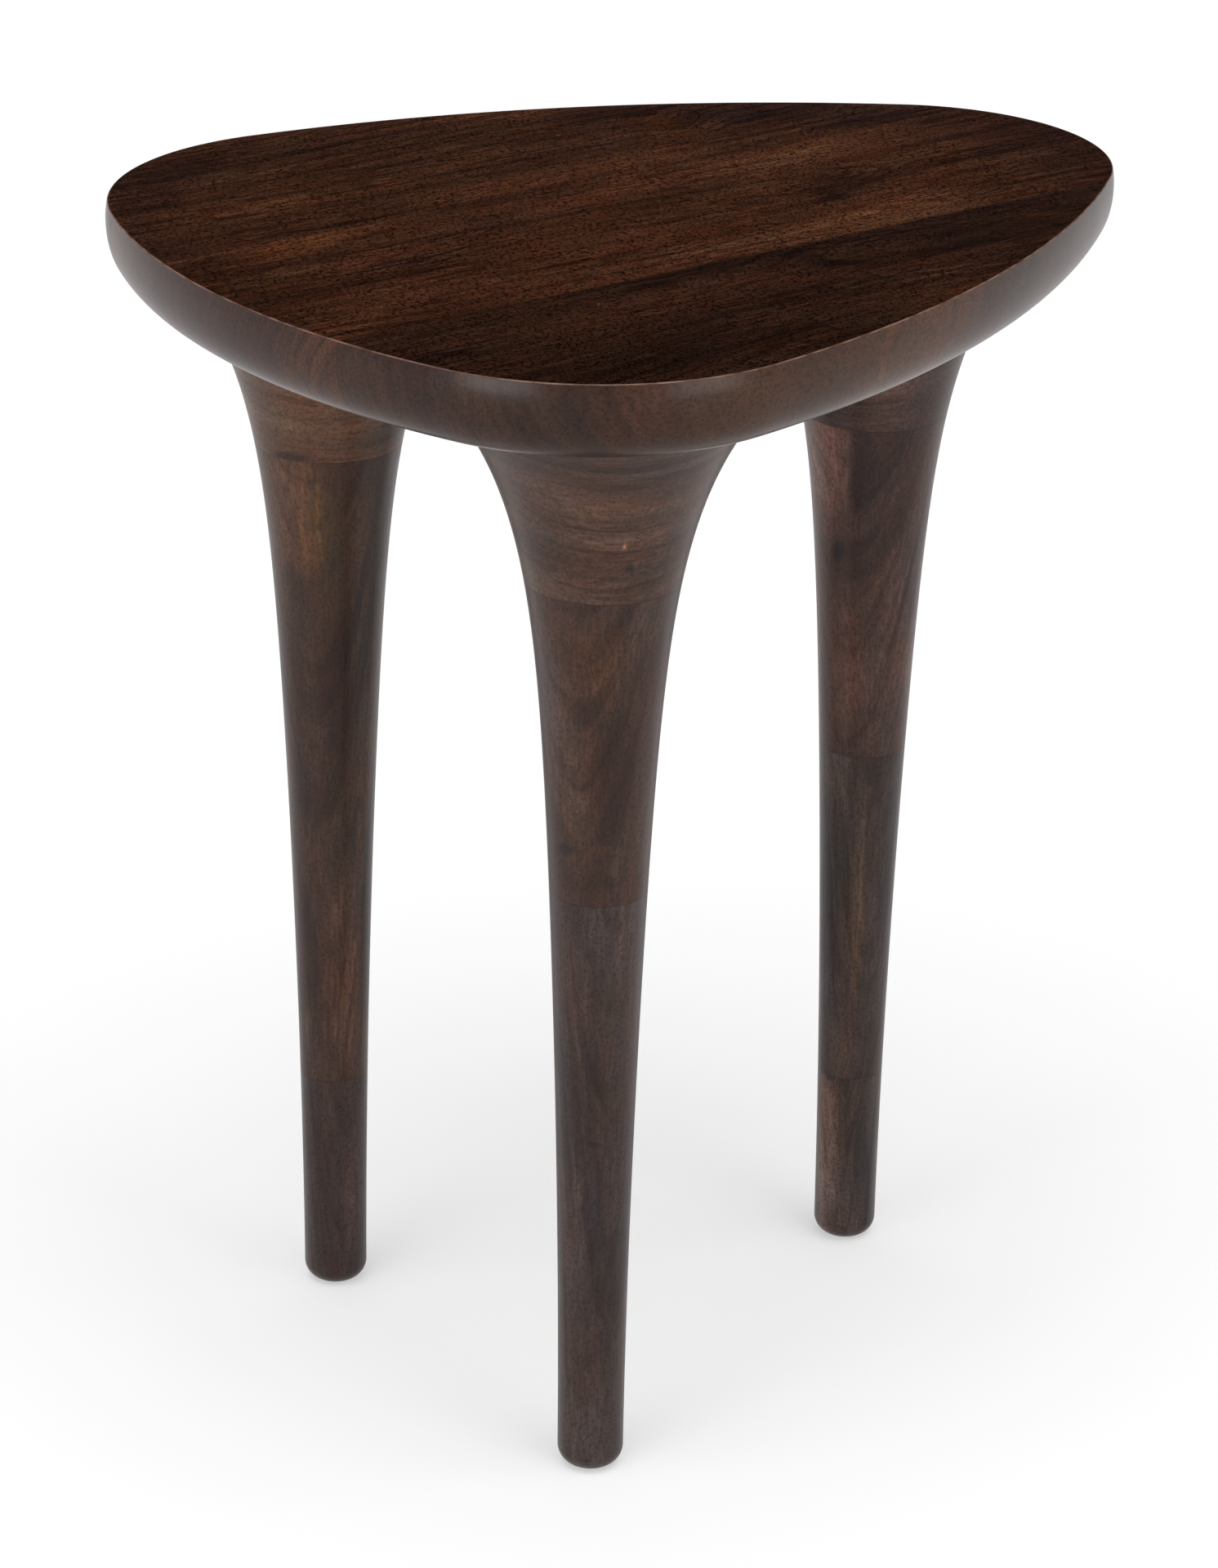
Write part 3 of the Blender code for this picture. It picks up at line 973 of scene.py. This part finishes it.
tip_upper_patches = (
    Patch(-48, 412, 36, 46, 0, 1.9, pale),
    Patch(-36, 412, 5, 26, 0, 0.5, pale),
    Patch(-24, 410, 4, 24, 0, 0.5, pale),
    Patch(-33, 367, 9, 7, 0, -1.8, plain),
    Patch(25, 402, 36, 3.0, 40, 0.4, pale),
    Patch(10, 385, 32, 3.0, 50, 0.35, pale),
    Patch(-6, 410, 20, 40, 0, -0.75, plum),
    Patch(-26, 310, 30, 56, 0, 0.45, plain),
    Patch(40, 280, 34, 26, 0, -0.45, ashen),
)
tip_middle_patches = (
    Patch(4, 195, 16, 90, 0, 0.55, amber),
    Patch(7, 195, 4, 80, 0, 0.4, plain),
    Patch(-48, 190, 24, 66, 0, -0.25, ashen),
    Patch(50, 215, 24, 70, 0, -0.35, ashen),
    Patch(-22, 108, 50, 26, 0, 0.7, plain),
    Patch(-26, 250, 20, 30, 0, 0.3, plain),
)
tip_lower_patches = (
    Patch(-46, 54, 44, 70, 0, 1.9, plain),
    Patch(30, 48, 38, 58, 0, -1.1, ashen),
    Patch(-38, 92, 17, 3.0, 0, -1.4, plain),
)


def dress_boards():
    """Make the three boards."""
    boards = (
        ("top_board_front", "top_wood_dark", None, front_seam, [front_spot],
         (55, 32, 20), Sawn(60.0, -70.0, 0.05, 16.0, 3.0),
         front_patches, front_humps, front_rim_patches),
        ("top_board_middle", "top_wood_light", front_seam, back_seam, [tip_spot],
         (76, 44, 27), Sawn(-170.0, -80.0, 0.03, 14.0, 11.0),
         middle_patches + tip_lines, middle_humps, left_rim_painted_shade),
        ("top_board_back", "top_wood_mid", back_seam, None, [back_spot],
         (71, 42, 26), Sawn(-60.0, -90.0, -0.04, 14.0, 23.0),
         back_patches, back_humps, left_rim_painted_shade),
    )
    for node, slot, low, high, spots, stain, sawn, patches, humps, rim_patches in boards:
        seams = [seam for seam in (low, high) if seam is not None]
        material = board_material(node + "_wood", stain, sawn, seams, patches, humps, rim_patches)
        dress(make_board(node, low, high, spots), node, material)


def dress_leg(leg, spot, lengths):
    """Make the head block and the lengths of shaft of one leg, from the top down."""
    towards = math.atan2(camera_place.y - spot[1], camera_place.x - spot[0])
    lows = [upper for _, upper, _, _, _ in lengths[1:]] + [0.0]
    for (length, upper, stain, sawn, patches), lower in zip(lengths, lows):
        node = leg + "_" + length
        is_head = upper == leg_height
        look, slot = (head_look, "head_wood") if is_head else (shaft_look, "shaft_wood")
        joints = [height for height in (upper, lower) if 0.0 < height < leg_height]
        material = leg_material(node + "_wood", stain, look, sawn, spot, towards, patches, joints)
        piece = turn(node + "_fine", leg_profile(upper, lower), spot)
        dress(piece, node, material)


def dress_legs():
    """Make the three legs."""
    dress_leg("front_leg", front_spot, (
        ("head_block", leg_height, (73, 50, 39), Sawn(30, -60, 0.10, 14, 1), front_head_patches),
        ("upper_shaft", head_joint, (63, 42, 33), Sawn(25, -45, 0.06, 14, 7), front_upper_patches),
        ("lower_shaft", front_joint, (57, 43, 39), Sawn(-30, -50, 0.05, 14, 13),
         front_lower_patches),
    ))
    dress_leg("back_leg", back_spot, (
        ("head_block", leg_height, (82, 57, 42), Sawn(-40, -40, 0.20, 16, 19), back_head_patches),
        ("upper_shaft", head_joint, (62, 42, 32), Sawn(20, -55, 0.04, 14, 25), back_upper_patches),
        ("lower_shaft", back_joint, (57, 42, 38), Sawn(-22, -50, 0.05, 14, 31), back_lower_patches),
    ))
    dress_leg("tip_leg", tip_spot, (
        ("head_block", leg_height, (60, 42, 36), Sawn(30, -60, -0.15, 14, 37), tip_head_patches),
        ("upper_shaft", head_joint, (66, 43, 35), Sawn(28, -40, 0.12, 16, 43), tip_upper_patches),
        ("middle_shaft", tip_upper_joint, (59, 45, 39), Sawn(-25, -60, 0.03, 10, 49),
         tip_middle_patches),
        ("lower_shaft", tip_lower_joint, (59, 46, 41), Sawn(25, -50, 0.06, 16, 55),
         tip_lower_patches),
    ))


def dress_hardware():
    """Give the dowels, bolts and inserts, which stay as packed, their materials."""
    dowel = bare_dowel_material()
    steel = turned_metal("bolt_steel", (120, 118, 114), (178, 176, 172), 0.34)
    zinc = turned_metal("insert_zinc", (140, 136, 124), (190, 186, 172), 0.42)
    for node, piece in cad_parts.items():
        for ending, material in (("dowel", dowel), ("bolt", steel), ("insert", zinc)):
            if node.endswith(ending):
                piece.data.materials.clear()
                piece.data.materials.append(material)


# The floor lies a hair under the feet. It is matt, and glows a little where it is seen or
# mirrored, so that it shows white
floor_radius = 60.0
floor_sides = 256
floor_drop = 0.0003
white = (1.0, 1.0, 1.0, 1.0)
floor_colour = (0.60, 0.60, 0.60, 1.0)
floor_glow = 0.45

# The studio is white up to this height over the horizon, as the sine of the angle
white_height = 0.105
white_fade = 0.010
horizon_glow = 1.0
sky_glow = 0.005

# Each wide lamp: its name, where it shines from in degrees, its spread, its strength, and
# whether the lacquer mirrors it
lamps = (
    ("overhead_light", 233.5, 78.0, 60.0, 1.90, True),
    ("left_light", 196.0, 38.0, 70.0, 0.52, False),
    ("right_light", 298.0, 38.0, 70.0, 0.58, False),
    ("back_light", 53.5, 50.0, 70.0, 0.40, False),
)

# Each softbox stands upright, its lower part hidden by the floor, and is mirrored in the edge of
# the top: its name, the azimuth at which it stands, and its power in watts
softboxes = (
    ("left_softbox", 195.0, 40.0),
    ("right_softbox", 281.0, 29.0),
)
softbox_distance = 3.0
softbox_size = 1.6
softbox_height = 0.45


def make_floor():
    """A plain white floor that keeps the table's shadow and shows white to the camera."""
    bpy.ops.mesh.primitive_circle_add(
        vertices=floor_sides,
        radius=floor_radius,
        fill_type="NGON",
        location=(0.0, 0.0, -floor_drop),
    )
    floor = bpy.context.object
    floor.name = "floor"
    material = bpy.data.materials.new("white_floor")
    material.use_nodes = True
    tree = material.node_tree
    tree.nodes.clear()
    path = add_node(tree, "LightPath", {})
    kinds = ("Is Camera Ray", "Is Glossy Ray", "Is Transmission Ray")
    seen = [Number(tree, path.outputs[kind]) for kind in kinds]
    shown = seen[0] + seen[1] + seen[2]
    glow = add_node(tree, "Emission", {"Color": white, "Strength": shown * floor_glow})
    matt = add_node(tree, "BsdfDiffuse", {"Color": floor_colour})
    both = add_node(tree, "AddShader", {0: matt.outputs[0], 1: glow.outputs[0]})
    out = add_node(tree, "OutputMaterial", {})
    tree.links.new(both.outputs[0], out.inputs["Surface"])
    floor.data.materials.append(material)


def make_world():
    """A studio that is white down at the horizon and dim above it."""
    world = bpy.data.worlds.new("studio")
    bpy.context.scene.world = world
    world.use_nodes = True
    tree = world.node_tree
    direction = add_node(tree, "TexCoord", {}).outputs["Generated"]
    up = Number(tree, add_node(tree, "SeparateXYZ", {"Vector": direction}).outputs[2])
    glow = ramp(up, white_height, white_height + white_fade, horizon_glow, sky_glow)
    background = tree.nodes["Background"]
    background.inputs["Color"].default_value = white
    feed(tree, background.inputs["Strength"], glow)


def make_lamp(name, azimuth, elevation, spread, strength, mirrored):
    """A wide soft lamp that shines from an azimuth and an elevation."""
    lamp = bpy.data.lights.new(name, "SUN")
    lamp.angle = math.radians(spread)
    lamp.energy = strength
    sun = add_object(name, lamp)
    sun.visible_glossy = mirrored
    turn, rise = math.radians(azimuth), math.radians(elevation)
    level = math.cos(rise)
    towards = Vector((math.cos(turn) * level, math.sin(turn) * level, math.sin(rise)))
    sun.rotation_mode = "QUATERNION"
    sun.rotation_quaternion = towards.to_track_quat("Z", "Y")


def make_softbox(name, azimuth, power):
    """A square area lamp that stands upright and faces the table."""
    lamp = bpy.data.lights.new(name, "AREA")
    lamp.size = softbox_size
    lamp.energy = power
    box = add_object(name, lamp)
    box.visible_camera = False
    turn = math.radians(azimuth)
    away = Vector((math.cos(turn), math.sin(turn), 0.0))
    box.location = away * softbox_distance + Vector((0.0, 0.0, softbox_height))
    box.rotation_mode = "QUATERNION"
    box.rotation_quaternion = away.to_track_quat("Z", "Y")


def make_camera():
    """The camera of the main view."""
    lens = bpy.data.cameras.new("main_camera")
    lens.lens = camera_lens
    lens.sensor_width = sensor_width
    lens.clip_end = view_depth
    camera = add_object("main_camera", lens)
    turned = Matrix.Rotation(camera_azimuth, 4, "Z")
    tipped = Matrix.Rotation(math.pi / 2 - camera_pitch, 4, "X")
    rolled = Matrix.Rotation(camera_roll, 4, "Z")
    camera.matrix_world = Matrix.Translation(camera_place) @ turned @ tipped @ rolled
    bpy.context.scene.camera = camera


make_camera()
make_floor()
make_world()
for lamp_values in lamps:
    make_lamp(*lamp_values)
for softbox_values in softboxes:
    make_softbox(*softbox_values)
dress_boards()
dress_legs()
dress_hardware()

bpy.context.scene.view_settings.view_transform = "Standard"
